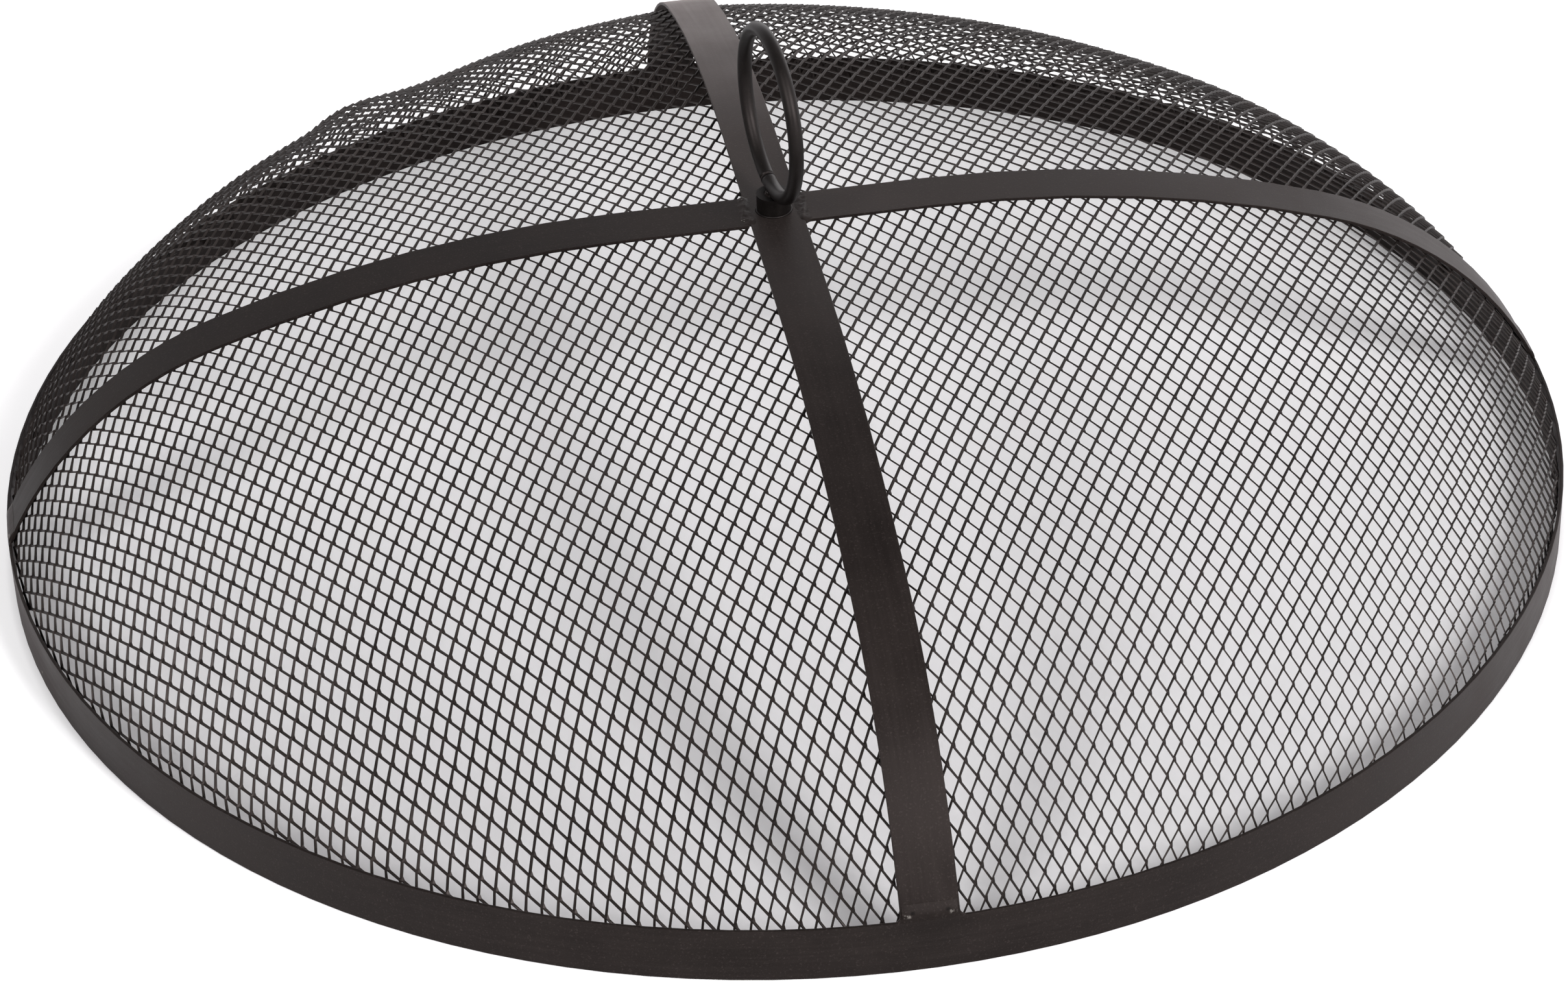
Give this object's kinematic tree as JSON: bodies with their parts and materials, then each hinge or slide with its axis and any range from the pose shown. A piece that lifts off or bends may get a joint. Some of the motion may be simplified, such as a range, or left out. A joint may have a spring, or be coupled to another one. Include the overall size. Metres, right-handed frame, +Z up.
{
  "type": "fire pit spark screen",
  "caption": "Domed spark screen for a round fire pit: flat-bar hoop, expanded steel mesh dome, crossed flat straps and an upright lifting ring on a short collar",
  "frame": {"origin": "middle of the hoop, on the plane of the lower edge it stands on", "axes": "+Z up through the crown, long strap along Y with its front foot at -Y, cross strap along X"},
  "size_m": [0.7619, 0.7619, 0.2534],
  "materials": {
    "bar_paint": "satin high-temperature paint on flat steel bar, lightly dusted and rubbed",
    "mesh_paint": "satin high-temperature paint on expanded steel sheet",
    "weld_paint": "painted weld metal, rough, with bare bright specks",
    "ring_paint": "satin near-black paint on round steel rod and tube"
  },
  "bodies": {
    "root": {"rim_hoop": "bar_paint", "hoop_seam_weld": "weld_paint", "mesh_dome": "mesh_paint", "mesh_tack_welds": "weld_paint", "long_strap": "bar_paint", "cross_strap_left": "bar_paint", "cross_strap_right": "bar_paint", "strap_weld_front": "weld_paint", "strap_weld_back": "weld_paint", "strap_weld_left": "weld_paint", "strap_weld_right": "weld_paint", "crown_weld_left": "weld_paint", "crown_weld_right": "weld_paint", "ring_collar": "ring_paint", "collar_weld": "weld_paint", "lifting_ring": "ring_paint", "ring_seam_weld": "weld_paint", "ring_seat_weld": "weld_paint"}
  },
  "joints": []
}
